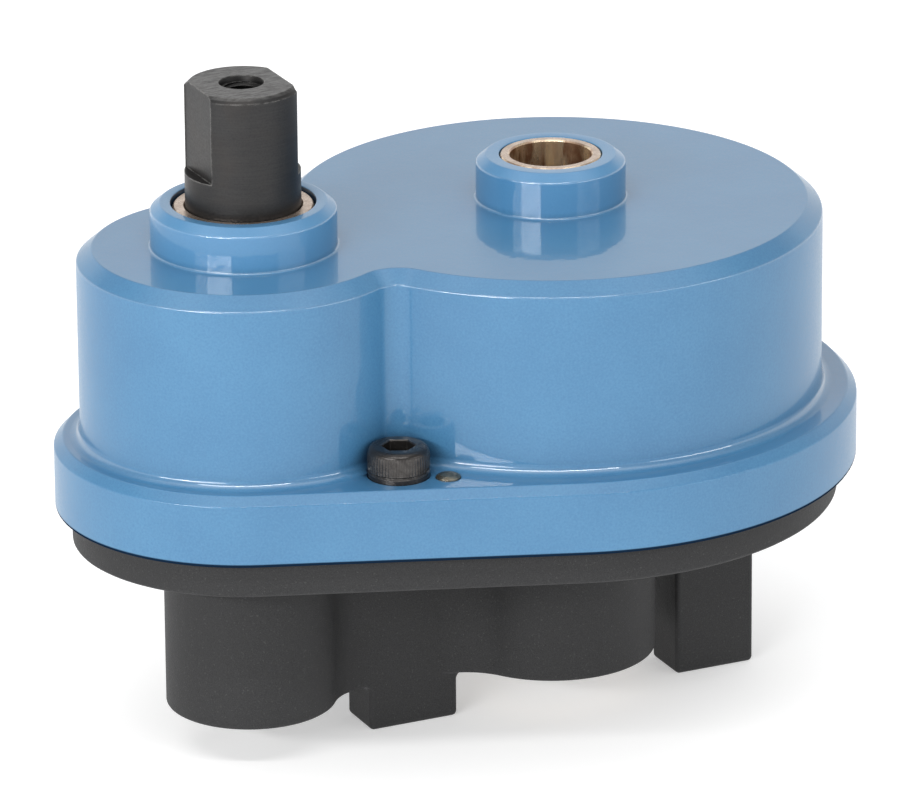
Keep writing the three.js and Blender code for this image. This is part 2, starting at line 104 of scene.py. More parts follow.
# ---------- driving dimensions that the frame doesn't give ----------
# A pair of radii is for the drive axis and then the output axis.
LOBE_R = (52.8, 32.2)
COVER_BOSS_R = (14.55, 17.9)
BASE_BOSS_R = (20.4, 16.7)
COVER_WALL = 5
FLANGE_TOP_Z = 64.8
PLATE_BOTTOM_Z = 43.5
WAIST_FILLET = 4.3
WEB_FILLET = (13, 10)            # from the web out to each base boss
FLANGE_CHAMFER = (1.75, 1.8)     # inwards, downwards
LOBE_CHAMFER = (3.0, 2.5)
BOSS_CHAMFER = (1.9, 1.5)
FOOT_FILLET = 2.0                # where the lobes rise from the flange
BOSS_FILLET = 0.55               # where the bosses rise from the lobes
CAVITY_FILLET = 1.5              # under the cover's roof
PAINTED_EDGE = 0.6               # rounding that the enamel leaves on a machined edge
RIM_EDGE = 0.5                   # of the flange's underside
SEAM_EDGE = 0.4                  # of the two faces that meet at the gasket
PLATE_EDGE = 0.7                 # of the plate's underside
ROOT_FILLET = 1.0                # where the base bosses come out of the plate
CAST_EDGE = 0.6
LUG_EDGE = 1.0
LUG_ROOT_FILLET = 0.8            # where the end lug comes out of the plate
LUG_SPREAD = 1.6                 # fillet between the web lug and the web
WEB_LUG_WIDTH = 18.8
END_LUG_WIDTH = 17.1
ROUND = 96                       # segments of a full small circle


# ---------- outlines, as lists of (x, y) in millimetres ----------
def arc(x, y, r, start, end, steps, last=True):
    """Points along an arc about (x, y), with or without its last one."""
    count = steps + 1 if last else steps
    angles = (start + (end - start) * i / steps for i in range(count))
    return [(x + r * math.cos(a), y + r * math.sin(a)) for a in angles]


def circle(x, y, r, steps=ROUND, turn=0.0):
    """A closed outline, whose first point is turned from +X."""
    return arc(x, y, r, turn, turn + 2 * math.pi, steps, last=False)


def belt(radii, offset):
    """A circle on each axis with straight tangents, like a belt round two pulleys."""
    drive, output = (r + offset for r in radii)
    lean = math.acos((output - drive) / CENTRES)
    return (arc(DRIVE_X, 0, drive, -lean, lean, 84)
            + arc(OUTPUT_X, 0, output, lean, 2 * math.pi - lean, 44))


def bridged(radii, offset, drive_fillet, output_fillet, steps):
    """A circle on each axis, joined by two fillets given as (x, y, radius).

    An offset outline keeps the arcs' centres, so any two offsets match point for point.
    """
    (drive, output), down = radii, -math.pi / 2
    (drive_x, drive_y, drive_r), (output_x, output_y, output_r) = drive_fillet, output_fillet
    drive_angle = math.atan2(drive_y, DRIVE_X - drive_x)
    output_angle = math.atan2(output_y, output_x - OUTPUT_X)
    apart = drive_x != output_x
    upper = [
        *arc(DRIVE_X, 0, drive + offset, 0, math.pi - drive_angle, 56, last=False),
        *arc(drive_x, drive_y, drive_r - offset, -drive_angle, down, steps, last=apart),
        *arc(output_x, output_y, output_r - offset, down, output_angle - math.pi, steps, last=False),
        *arc(OUTPUT_X, 0, output + offset, output_angle, math.pi, 36),
    ]
    return upper + [(x, -y) for x, y in reversed(upper[1:-1])]


def waisted(radii, fillet, offset):
    """Two circles that meet, with a fillet in each corner of their waist."""
    drive_reach, output_reach = (r + fillet for r in radii)
    drive_side = (drive_reach**2 - output_reach**2 + CENTRES**2) / (2 * CENTRES)
    corner = (DRIVE_X - drive_side, math.sqrt(drive_reach**2 - drive_side**2), fillet)
    return bridged(radii, offset, corner, corner, 6)


def webbed(radii, fillets, half_web, offset):
    """Two circles joined by a straight web, with a fillet of its own on each."""
    sides = [math.sqrt((r + f)**2 - (half_web + f)**2) for r, f in zip(radii, fillets)]
    drive = (DRIVE_X - sides[0], half_web + fillets[0], fillets[0])
    output = (OUTPUT_X + sides[1], half_web + fillets[1], fillets[1])
    return bridged(radii, offset, drive, output, 14)


def rounded_box(x, half_x, half_y, corner, offset=0.0):
    """A rectangle about (x, 0) with round corners."""
    steps, least_r = 5, 0.05
    r = max(corner + offset, least_r)
    reach_x, reach_y = half_x + offset - r, half_y + offset - r
    quarter = math.pi / 2
    places = [(reach_x, reach_y), (-reach_x, reach_y), (-reach_x, -reach_y), (reach_x, -reach_y)]
    points = []
    for i, (cx, cy) in enumerate(places):
        points += arc(x + cx, cy, r, quarter * i, quarter * (i + 1), steps)
    return points


def soften(corners, steps=4):
    """A profile's corners (across, up, rounding) as points (across, up) with the corners rounded."""
    points = []
    for i, (across, up, rounding) in enumerate(corners):
        here = Vector((across, up))
        if not rounding:
            points.append(here)
            continue
        back = (Vector(corners[i - 1][:2]) - here).normalized()
        ahead = (Vector(corners[(i + 1) % len(corners)][:2]) - here).normalized()
        half = back.angle(ahead) / 2
        reach = rounding / math.tan(half)
        middle = here + (back + ahead).normalized() * rounding / math.sin(half)
        start = here + back * reach - middle
        turn = math.remainder(
            math.atan2(*(here + ahead * reach - middle).yx) - math.atan2(*start.yx), 2 * math.pi)
        points += [middle + Matrix.Rotation(turn * k / steps, 2) @ start for k in range(steps + 1)]
    return [(p[0], p[1]) for p in points]


# ---------- the mesh builder ----------
class Shell:
    """A mesh made of bands swept round an outline and of flat faces between them.

    A band ends on a land, a narrow flat strip that keeps the shading of its last rounding off
    the wide face beyond.
    """

    def __init__(self):
        self.bm = bmesh.new()

    def ring(self, outline, z):
        """The vertices of an outline at a height."""
        return [self.bm.verts.new((x * MM, y * MM, z * MM)) for x, y in outline]

    def join(self, lower, upper):
        """A band of four-sided faces between two rings."""
        for i in range(len(lower)):
            self.bm.faces.new((lower[i - 1], lower[i], upper[i], upper[i - 1]))

    def sweep(self, outline, profile):
        """Skins outline(offset) along the profile's (offset, z), and returns its two end rings."""
        rings = [self.ring(outline(offset), z) for offset, z in profile]
        for lower, upper in zip(rings, rings[1:]):
            self.join(lower, upper)
        return rings[0], rings[-1]

    def fill(self, outer, *holes):
        """A flat face inside the outer ring, with its holes left open."""
        verts = [v for ring in (outer, *holes) for v in ring]
        for triangle in tessellate_polygon([[v.co / MM for v in ring] for ring in (outer, *holes)]):
            self.bm.faces.new([verts[i] for i in triangle])

    def piece(self, name, material, sharp=None):
        """Closes the mesh into an object with smooth faces and area-weighted normals."""
        bmesh.ops.remove_doubles(self.bm, verts=self.bm.verts, dist=1e-7)
        bmesh.ops.recalc_face_normals(self.bm, faces=self.bm.faces)
        mesh = bpy.data.meshes.new(name)
        self.bm.to_mesh(mesh)
        self.bm.free()
        made = bpy.data.objects.new(name, mesh)
        bpy.context.scene.collection.objects.link(made)
        return dress(made, material, sharp)


def dress(made, material=None, sharp=None):
    """Smooth shading that keeps flat faces flat, or that breaks at edges over sharp degrees."""
    mesh = made.data
    if material:
        mesh.materials.clear()
        mesh.materials.append(material)
    mesh.shade_smooth()
    if sharp:
        mesh.set_sharp_from_angle(angle=math.radians(sharp))
    else:
        weighted = made.modifiers.new("flat_faces", "WEIGHTED_NORMAL")
        weighted.weight = 90
    return made


def turned(name, x, y, profile, material=None, steps=ROUND, closed=False, sharp=None):
    """A solid of revolution. The profile is (radius, z); closed joins its end to its start."""
    shell = Shell()
    around = lambda r: circle(x, y, r, steps)
    low, high = shell.sweep(around, profile)
    if closed:
        shell.join(high, low)
    else:
        shell.fill(low)
        shell.fill(high)
    return shell.piece(name, material, sharp)


def carve(target, cutters, operation="DIFFERENCE"):
    """Cuts the cutters out of the target, or joins them to it, and removes them."""
    target.modifiers.clear()
    for cutter in cutters:
        cutter.modifiers.clear()
        tool = target.modifiers.new("carve", "BOOLEAN")
        tool.operation = operation
        tool.solver = "EXACT"
        tool.object = cutter
    graph = bpy.context.evaluated_depsgraph_get()
    mesh = bpy.data.meshes.new_from_object(target.evaluated_get(graph))
    target.modifiers.clear()
    target.data = mesh
    for cutter in cutters:
        bpy.data.objects.remove(cutter)
    return target


# ---------- castings ----------
ROOF_Z = LOBE_TOP_Z - COVER_WALL
PILOT_R = radius("pilot_bush")
SHAFT_BUSH_R = radius("shaft_cover_bush")
HUB_BUSH_R = radius("hub_cover_bush")
INNER_BOSS_Z = box("hub_cover_bush")[0].z - 0.2
INNER_BOSS_R = HUB_BUSH_R + 4
BORE_EDGE = 0.2
RING_WIDTH = (0.15, 0.4)         # of the open ring between each bush's end and its boss
RING_DEPTH = 2.5
POCKET_FLOOR = 5                 # under the output shaft's base bush
BUSH_LEAD = 0.4                  # chamfer that the drive bush goes in past
SCREWS = ("cover_screw_front", "cover_screw_rear")
DOWELS = ("dowel_pin_front", "dowel_pin_rear")
SEAT_Z = FLANGE_TOP_Z - 1.9      # the spotface that a screw's head rests on
SEAT_ROOM = 0.04                 # round the head
SEAT_REACH = 8                   # of the spotface's cutter, up past the flange's top
SEAT_LIP = (0.1, 0.15)           # outwards, downwards
DOWEL_LIP = (0.15, 0.2)
SHANK_R = 3.9
SHANK_ROOM = 0.3
PIN_ROOM = 0.05
LUG_FOOT = 2.5                   # where the web lug's foot begins
LUG_BURY = 0.8                   # how much narrower the web lug's root is, inside the web
UNION_STEP = 0.004               # keeps the web lug's faces off the web's own plane
CLEAR = 1                        # how far a cutter goes past the faces that it opens


def flange(shell):
    """The flange's rim, from its underside to its top."""
    inset, drop = FLANGE_CHAMFER
    low_land, high_land = 0.5, 0.4
    return shell.sweep(lambda offset: belt(FLANGE_R, offset), soften([
        (-RIM_EDGE - low_land, SEAM_Z, 0),
        (0, SEAM_Z, RIM_EDGE),
        (0, FLANGE_TOP_Z - drop, PAINTED_EDGE),
        (-inset, FLANGE_TOP_Z, PAINTED_EDGE),
        (-inset - high_land, FLANGE_TOP_Z, 0),
    ]))


def lobes(shell):
    """The two lobes' walls, from the flange's top to their own."""
    inset, drop = LOBE_CHAMFER
    low_land, high_land = 0.15, 0.5
    return shell.sweep(lambda offset: waisted(LOBE_R, WAIST_FILLET, offset), soften([
        (FOOT_FILLET + low_land, FLANGE_TOP_Z, 0),
        (0, FLANGE_TOP_Z, FOOT_FILLET),
        (0, LOBE_TOP_Z - drop, PAINTED_EDGE),
        (-inset, LOBE_TOP_Z, PAINTED_EDGE),
        (-inset - high_land, LOBE_TOP_Z, 0),
    ], steps=6))


def cavity(shell):
    """The walls round the gears, from the cover's roof to the seam."""
    radii = [r - COVER_WALL for r in LOBE_R]
    high_land, low_land = 0.5, 0.2
    return shell.sweep(lambda offset: waisted(radii, WAIST_FILLET, offset), soften([
        (-CAVITY_FILLET - high_land, ROOF_Z, 0),
        (0, ROOF_Z, CAVITY_FILLET),
        (0, SEAM_Z, SEAM_EDGE),
        (SEAM_EDGE + low_land, SEAM_Z, 0),
    ]))


def cover_boss(shell, x, r, bush_r, ring, inner):
    """A boss on the lobes' top, open by ring round its bush, and what is inside as (radius, z)."""
    inset, drop = BOSS_CHAMFER
    low_land = 0.1
    bore_r = bush_r + ring
    corners = [
        (BOSS_FILLET + low_land, LOBE_TOP_Z, 0),
        (0, LOBE_TOP_Z, BOSS_FILLET),
        (0, BOSS_TOP_Z - drop, PAINTED_EDGE),
        (-inset, BOSS_TOP_Z, PAINTED_EDGE),
        (bore_r + BORE_EDGE - r, BOSS_TOP_Z, 0),
        (bore_r - r, BOSS_TOP_Z - BORE_EDGE, 0),
        (bore_r - r, BOSS_TOP_Z - RING_DEPTH, 0),
        (bush_r - r, BOSS_TOP_Z - RING_DEPTH, 0),
        *((inner_r - r, z, 0) for inner_r, z in inner),
    ]
    return shell.sweep(lambda offset: circle(x, 0, r + offset), soften(corners))


def cover_housing(enamel):
    """The cover, with a boss under its roof that holds the hub's bush."""
    shell = Shell()
    under, flange_top = flange(shell)
    foot, lobe_top = lobes(shell)
    roof, mouth = cavity(shell)
    hub_seat = [
        (PILOT_R, ROOF_Z),
        (HUB_BUSH_R, ROOF_Z),
        (HUB_BUSH_R, INNER_BOSS_Z),
        (INNER_BOSS_R, INNER_BOSS_Z),
        (INNER_BOSS_R, ROOF_Z),
    ]
    drive_foot, drive_end = cover_boss(
        shell, DRIVE_X, COVER_BOSS_R[0], PILOT_R, RING_WIDTH[0], hub_seat)
    output_foot, output_end = cover_boss(
        shell, OUTPUT_X, COVER_BOSS_R[1], SHAFT_BUSH_R, RING_WIDTH[1], [(SHAFT_BUSH_R, ROOF_Z)])
    shell.fill(flange_top, foot)
    shell.fill(lobe_top, drive_foot, output_foot)
    shell.fill(roof, drive_end, output_end)
    shell.fill(under, mouth)
    cover = shell.piece("cover_casting", enamel)
    carve(cover, [seat_cutter(n) for n in SCREWS] + [dowel_cutter(n) for n in DOWELS])
    return dress(cover, enamel)


def seat_cutter(screw):
    """The clearance hole and the spotface that a cover screw's head sits in."""
    x, y, _ = centre(screw)
    hole, seat = SHANK_R + SHANK_ROOM, radius(screw) + SEAT_ROOM
    flare, drop = SEAT_LIP
    profile = [
        (hole, SEAM_Z - CLEAR),
        (hole, SEAT_Z),
        (seat, SEAT_Z),
        (seat, FLANGE_TOP_Z - drop),
        (seat + flare, FLANGE_TOP_Z),
        (seat + flare, FLANGE_TOP_Z + SEAT_REACH),
    ]
    return turned("seat_cutter", x, y, profile, steps=64)


def dowel_cutter(dowel):
    """A dowel's hole through the cover, flared at its mouth."""
    x, y, _ = centre(dowel)
    r = radius(dowel)
    flare, drop = DOWEL_LIP
    profile = [
        (r, SEAM_Z - CLEAR),
        (r, FLANGE_TOP_Z - drop),
        (r + flare, FLANGE_TOP_Z),
        (r + flare, FLANGE_TOP_Z + CLEAR),
    ]
    return turned("dowel_cutter", x, y, profile, steps=48)


def plate(shell):
    """The base plate's rim, from its top to its underside."""
    high_land, low_land = 0.6, 0.5
    return shell.sweep(lambda offset: belt(PLATE_R, offset), soften([
        (-SEAM_EDGE - high_land, BASE_HIGH.z, 0),
        (0, BASE_HIGH.z, SEAM_EDGE),
        (0, PLATE_BOTTOM_Z, PLATE_EDGE),
        (-PLATE_EDGE - low_land, PLATE_BOTTOM_Z, 0),
    ]))


def base_bosses(shell):
    """The two base bosses and the web between them, from the plate down."""
    high_land, low_land = 0.1, 0.3
    outline = lambda offset: webbed(BASE_BOSS_R, WEB_FILLET, LUG_HALF, offset)
    return shell.sweep(outline, soften([
        (ROOT_FILLET + high_land, PLATE_BOTTOM_Z, 0),
        (0, PLATE_BOTTOM_Z, ROOT_FILLET),
        (0, BOSS_BOTTOM_Z, CAST_EDGE),
        (-CAST_EDGE - low_land, BOSS_BOTTOM_Z, 0),
    ]))


def end_lug(shell):
    """The torque lug at the drive end, from the plate down to its foot."""
    half = END_LUG_WIDTH / 2
    high_land, low_land = 0.1, 0.3
    outline = lambda offset: rounded_box(END_LUG_X, half, LUG_HALF, LUG_EDGE, offset)
    return shell.sweep(outline, soften([
        (LUG_ROOT_FILLET + high_land, PLATE_BOTTOM_Z, 0),
        (0, PLATE_BOTTOM_Z, LUG_ROOT_FILLET),
        (0, 0, LUG_EDGE),
        (-LUG_EDGE - low_land, 0, 0),
    ]))


def web_lug():
    """The torque lug under the web. Fillets spread its two ends where it meets the web."""
    shell = Shell()
    half = WEB_LUG_WIDTH / 2
    wide, flush = half + LUG_SPREAD, LUG_HALF + UNION_STEP
    low_land = 0.3
    levels = [
        (wide, LUG_HALF - LUG_BURY, BOSS_BOTTOM_Z + 2 * CAST_EDGE),
        (wide, flush, BOSS_BOTTOM_Z + CAST_EDGE),
    ]
    for x, z in arc(wide, BOSS_BOTTOM_Z - LUG_SPREAD, LUG_SPREAD, math.pi / 2, math.pi, 6):
        levels.append((x, flush, z))
    rings = [shell.ring(rounded_box(WEB_LUG_X, x, y, LUG_EDGE), z) for x, y, z in levels]
    outline = lambda offset: rounded_box(WEB_LUG_X, half, flush, LUG_EDGE, offset)
    foot = soften([(0, LUG_FOOT, 0), (0, 0, LUG_EDGE), (-LUG_EDGE - low_land, 0, 0)])
    rings += [shell.ring(outline(offset), z) for offset, z in foot]
    for lower, upper in zip(rings, rings[1:]):
        shell.join(lower, upper)
    shell.fill(rings[0])
    shell.fill(rings[-1])
    return shell.piece("web_lug", None)


def base_hole(node, r):
    """A hole of radius r through the plate for a screw or a dowel."""
    x, y, _ = centre(node)
    profile = [(r + PIN_ROOM, PLATE_BOTTOM_Z - CLEAR), (r + PIN_ROOM, BASE_HIGH.z + CLEAR)]
    return turned("hole_cutter", x, y, profile, steps=40)


def base_housing(casting):
    """The base, bored right through for the hub and with a blind pocket for the output shaft."""
    shell = Shell()
    top, under = plate(shell)
    root, foot = base_bosses(shell)
    lug_root, lug_foot = end_lug(shell)
    bore_low, bore_high = shell.sweep(lambda r: circle(DRIVE_X, 0, r), [
        (HUB_BUSH_R + BUSH_LEAD, BOSS_BOTTOM_Z),
        (HUB_BUSH_R, BOSS_BOTTOM_Z + BUSH_LEAD),
        (HUB_BUSH_R, BASE_HIGH.z),
    ])
    pocket_floor, pocket_top = shell.sweep(lambda r: circle(OUTPUT_X, 0, r), [
        (SHAFT_BUSH_R, BOSS_BOTTOM_Z + POCKET_FLOOR),
        (SHAFT_BUSH_R, BASE_HIGH.z),
    ])
    shell.fill(under, root, lug_root)
    shell.fill(lug_foot)
    shell.fill(foot, bore_low)
    shell.fill(top, bore_high, pocket_top)
    shell.fill(pocket_floor)
    base = shell.piece("base_casting", casting)
    holes = [base_hole(n, SHANK_R) for n in SCREWS] + [base_hole(n, radius(n)) for n in DOWELS]
    carve(base, holes)
    carve(base, [web_lug()], "UNION")
    return dress(base, casting)


# ---------- shafts, bushes, screws and pins ----------
SHAFT_R = radius("output_shaft")
FLATS = (OUTPUT_X - mount("output_flat_outer").x, mount("output_flat_inner").x - OUTPUT_X)
FLAT_CORNER = 0.7                # along each flat, taken off where it meets the round
FLATS_BOTTOM_Z = 117.8
SHAFT_CHAMFER = 1.0
THREAD_MINOR_R, THREAD_MAJOR_R = 3.3, 3.95
THREAD_PITCH = 25.4 / 18
THREAD_DEPTH = 22
DRILL_POINT = 2                  # below the thread
COUNTERSINK_R = 4.35
COUNTERSINK_DEPTH = 0.7
HUB_BORE_R = 7.95
HUB_R = 12.9
HUB_EDGE = 0.4
HUB_BORE_EDGE = 0.5
COLLAR_ROOM = (0.3, 0.1)         # under the collar to the washer, over it to the gear
COLLAR_EDGE = 0.3
KEY = 4.76
KEY_ROOM = 0.05
RUNNING = 0.1                    # clearance between a shaft and its bush
HOLD = 0.3                       # how far past an edge its rounding can tilt the shading
AXIS_R = 0.2                     # turned solids stop this short of their own axis
OVER = 2                         # how far the flats' cutters go past the bar
SHAFT_RINGS = ("shaft_ring_lower", "shaft_ring_upper")
BUSH_EDGE = 0.3
DOWEL_CHAMFER = 0.5
DOWEL_DOME = (0.75, 1.15, 1.6)   # its edge, shoulder and middle, above the CAD pin's flat end
TIP_CHAMFER = 0.6                # of a cover screw's shank
HEAD_LIFT = 0.02                 # keeps a head's underside off its seat's own plane
HEAD_SHOULDER = 1.3              # rounding between a head's side and its top
KNURL_TEETH, KNURL_DEPTH = 60, 0.09
KNURL_ENDS = (3.3, 1.6)          # above the seat, below the head's top
KNURL_GROOVE = ((0.02, 0.45), (0.08, 0.38), (0.26, 0.26), (0.26, 0.15))    # (inwards, below it)
HEX_FLATS = 5.7
HEX_DEPTH = 3.8
HEX_POINT = 1.2                  # below the socket's flats
HEX_LIP = (0.22, 0.2)            # outwards, downwards
HEX_TURN = -25                   # degrees that the sockets are turned by


def output_shaft(oxide):
    """The output shaft with two flats at its end and a tapped hole."""
    x, top = OUTPUT_X, SHAFT_HIGH.z
    profile = soften([
        (AXIS_R, SHAFT_LOW.z, 0),
        (SHAFT_R - SHAFT_CHAMFER, SHAFT_LOW.z, 0),
        (SHAFT_R, SHAFT_LOW.z + SHAFT_CHAMFER, 0),
        *((r, z, 0) for node in SHAFT_RINGS for r, z in groove(node, SHAFT_R)),
        (SHAFT_R, top - SHAFT_CHAMFER - HOLD, 0),
        (SHAFT_R, top - SHAFT_CHAMFER, 0.12),
        (SHAFT_R - SHAFT_CHAMFER, top, 0.12),
        (SHAFT_R - SHAFT_CHAMFER - HOLD, top, 0),
        (COUNTERSINK_R + HOLD, top, 0),
        (COUNTERSINK_R, top, 0.06),
        (THREAD_MAJOR_R + 0.1, top - COUNTERSINK_DEPTH, 0),
        (THREAD_MAJOR_R, top - COUNTERSINK_DEPTH - 0.4, 0),
        (THREAD_MINOR_R, top - COUNTERSINK_DEPTH - 1, 0),
        (THREAD_MINOR_R, top - THREAD_DEPTH, 0),
        (AXIS_R, top - THREAD_DEPTH - DRILL_POINT, 0),
    ])
    shaft = turned("shaft_bar", x, 0, profile, steps=128)
    cutters = [flat_cutter(x, side * flat, top) for side, flat in zip((-1, 1), FLATS)]
    cutters.append(block_cutter(*box("pinion_key"), KEY_ROOM))
    cutters.append(thread_cutter(x, top))
    return dress(carve(shaft, cutters), oxide, sharp=13)


def flat_cutter(x, flat, top):
    """What is milled off for a flat, with the corners that the flat leaves broken."""
    reach = math.sqrt(SHAFT_R**2 - flat**2) - FLAT_CORNER
    lean = math.atan2(reach, abs(flat)) / 2
    wing, out = 4, math.copysign(1, flat)
    outline = [
        (x + flat + out * wing * math.sin(lean), -reach - wing * math.cos(lean)),
        (x + flat, -reach),
        (x + flat, reach),
        (x + flat + out * wing * math.sin(lean), reach + wing * math.cos(lean)),
        (x + out * (SHAFT_R + OVER), reach + wing),
        (x + out * (SHAFT_R + OVER), -reach - wing),
    ]
    shell = Shell()
    low = shell.ring(outline, FLATS_BOTTOM_Z)
    high = shell.ring(outline, top + OVER)
    shell.join(low, high)
    shell.fill(low)
    shell.fill(high)
    return shell.piece("flat_cutter", None)


def thread_cutter(x, top):
    """A helical V groove from just inside the hole's mouth down the tapped length."""
    shell = Shell()
    steps_per_turn, turns = 32, 11
    start_z = top - 1
    half_mouth, half_root = THREAD_PITCH * 0.42, 0.08
    inner_r = THREAD_MINOR_R - 0.25
    rings = []
    for i in range(steps_per_turn * turns + 1):
        turn = 2 * math.pi * i / steps_per_turn
        z = start_z - THREAD_PITCH * i / steps_per_turn
        section = [
            (inner_r, z + half_mouth),
            (THREAD_MAJOR_R, z + half_root),
            (THREAD_MAJOR_R, z - half_root),
            (inner_r, z - half_mouth),
        ]
        cos, sin = math.cos(turn), math.sin(turn)
        rings.append([shell.bm.verts.new(((x + r * cos) * MM, r * sin * MM, h * MM))
                      for r, h in section])
    for one, other in zip(rings, rings[1:]):
        shell.join(one, other)
    shell.fill(rings[0])
    shell.fill(rings[-1])
    return shell.piece("thread_cutter", None)


def toothed(x, y, r, depth):
    """A circle with the knurl's teeth, or a plain one where their depth is 0."""
    count = KNURL_TEETH * 4
    points = []
    for i in range(count):
        reach = r - (0, 0.5, 1, 0.5)[i % 4] * depth
        angle = 2 * math.pi * i / count
        points.append((x + reach * math.cos(angle), y + reach * math.sin(angle)))
    return points


def screw_profile(low_z, top_z, head_r):
    """A cover screw's outside from its tip to its top, as (radius, z, depth of the knurl)."""
    under_z = SEAT_Z + HEAD_LIFT
    knurl_low, knurl_high = SEAT_Z + KNURL_ENDS[0], top_z - KNURL_ENDS[1]
    shoulder = arc(0, 0, HEAD_SHOULDER, math.radians(15), math.pi / 2, 8)
    return [
        (SHANK_R - TIP_CHAMFER, low_z, 0),
        (SHANK_R, low_z + TIP_CHAMFER, 0),
        (SHANK_R, under_z, 0),
        (head_r - 0.15, under_z, 0),
        (head_r - 0.05, SEAT_Z + 0.15, 0),
        *((head_r - inwards, knurl_low - below, 0) for inwards, below in KNURL_GROOVE),
        (head_r - 0.1, knurl_low, KNURL_DEPTH),
        (head_r, knurl_low + 0.15, KNURL_DEPTH),
        (head_r, knurl_high, KNURL_DEPTH),
        (head_r - 0.04, knurl_high + 0.3, KNURL_DEPTH),
        *((head_r - HEAD_SHOULDER - 0.05 + r, top_z - HEAD_SHOULDER + z, 0) for r, z in shoulder),
    ]


def socket(shell, x, y, top_z):
    """A hexagon socket from a head's top down to its point. Returns its mouth."""
    across = HEX_FLATS / math.sqrt(3)
    flare, drop = HEX_LIP
    profile = [
        (across + flare, top_z),
        (across, top_z - drop),
        (across, top_z - HEX_DEPTH),
        (AXIS_R / 2, top_z - HEX_DEPTH - HEX_POINT),
    ]
    mouth, point = shell.sweep(lambda r: circle(x, y, r, 6, math.radians(HEX_TURN)), profile)
    shell.fill(point)
    return mouth


def cover_screw(node, black):
    """A socket head cap screw with a knurled head."""
    x, y, _ = centre(node)
    low, high = box(node)
    shell = Shell()
    profile = screw_profile(low.z, high.z, radius(node))
    rings = [shell.ring(toothed(x, y, r, depth), z) for r, z, depth in profile]
    for lower, upper in zip(rings, rings[1:]):
        shell.join(lower, upper)
    shell.fill(rings[0])
    shell.fill(rings[-1], socket(shell, x, y, high.z))
    return shell.piece("screw_head_" + node.split("_")[-1], black, sharp=32)


def dowel_pin(node, metal):
    """A dowel with a flat dome on its upper end."""
    x, y, _ = centre(node)
    low, high = box(node)
    r = radius(node) - 0.01
    edge, shoulder, middle = (high.z + rise for rise in DOWEL_DOME)
    profile = soften([
        (AXIS_R, low.z, 0),
        (r - DOWEL_CHAMFER, low.z, 0),
        (r, low.z + DOWEL_CHAMFER, 0),
        (r, edge, 0.15),
        (r - 0.7, shoulder, 0.2),
        (AXIS_R / 2, middle, 0),
    ])
    return turned("dowel_" + node.split("_")[-1], x, y, profile, metal, steps=48)


def bush(node, inner, bronze):
    """A plain bronze bush round a shaft. Its length and its outside are the node's own."""
    x, y, _ = centre(node)
    low, high = box(node)
    outer = radius(node)
    profile = soften([
        (inner, low.z + BUSH_EDGE, 0),
        (inner + BUSH_EDGE, low.z, 0),
        (outer - BUSH_EDGE, low.z, 0),
        (outer, low.z + BUSH_EDGE, 0),
        (outer, high.z - BUSH_EDGE, 0.1),
        (outer - BUSH_EDGE, high.z, 0.1),
        (inner + BUSH_EDGE, high.z, 0.1),
        (inner, high.z - BUSH_EDGE, 0.1),
    ])
    return turned(node + "_sleeve", x, y, profile, bronze, closed=True)


def block_cutter(low, high, room):
    """A box from its lowest to its highest corner, made larger by room on every side."""
    shell = Shell()
    x, y = (low.x + high.x) / 2, (low.y + high.y) / 2
    outline = rounded_box(x, (high.x - low.x) / 2 + room, (high.y - low.y) / 2 + room, 0.1)
    outline = [(px, py + y) for px, py in outline]
    lower = shell.ring(outline, low.z - room)
    upper = shell.ring(outline, high.z + room)
    shell.join(lower, upper)
    shell.fill(lower)
    shell.fill(upper)
    return shell.piece("block_cutter", None)


def groove(ring_node, r):
    """The four corners of a retaining ring's groove in a turned profile of radius r."""
    low, high = box(ring_node)
    depth, room = 0.6, 0.05
    bottom, top = low.z - room, high.z + room
    return [(r, bottom), (r - depth, bottom), (r - depth, top), (r, top)]


def drive_hub(steel):
    """The hub that the drive shaft slides into, with a keyway down its bore."""
    low, high = box("drive_hub")
    collar_r = radius("drive_hub")
    collar_low = box("hub_washer_lower")[1].z + COLLAR_ROOM[0]
    collar_high = box("drive_gear")[0].z - COLLAR_ROOM[1]
    profile = [
        (HUB_BORE_R, low.z + HUB_BORE_EDGE),
        (HUB_BORE_R + HUB_BORE_EDGE, low.z),
        (HUB_R - HUB_EDGE, low.z),
        (HUB_R, low.z + HUB_EDGE),
        (HUB_R, collar_low),
        (collar_r - COLLAR_EDGE, collar_low),
        (collar_r, collar_low + COLLAR_EDGE),
        (collar_r, collar_high - COLLAR_EDGE),
        (collar_r - COLLAR_EDGE, collar_high),
        (HUB_R, collar_high),
        *groove("hub_ring", HUB_R),
        (HUB_R, high.z - HUB_EDGE),
        (HUB_R - HUB_EDGE, high.z),
        (HUB_BORE_R + HUB_BORE_EDGE, high.z),
        (HUB_BORE_R, high.z - HUB_BORE_EDGE),
    ]
    hub = turned("drive_hub_sleeve", DRIVE_X, 0, profile, closed=True)
    wall_x = DRIVE_X + HUB_BORE_R
    keyway = [
        Vector((wall_x - KEY / 2, -KEY / 2, low.z - CLEAR)),
        Vector((wall_x + KEY / 2, KEY / 2, high.z + CLEAR)),
    ]
    carve(hub, [block_cutter(*keyway, KEY_ROOM), block_cutter(*box("gear_key"), KEY_ROOM)])
    return dress(hub, steel, sharp=50)


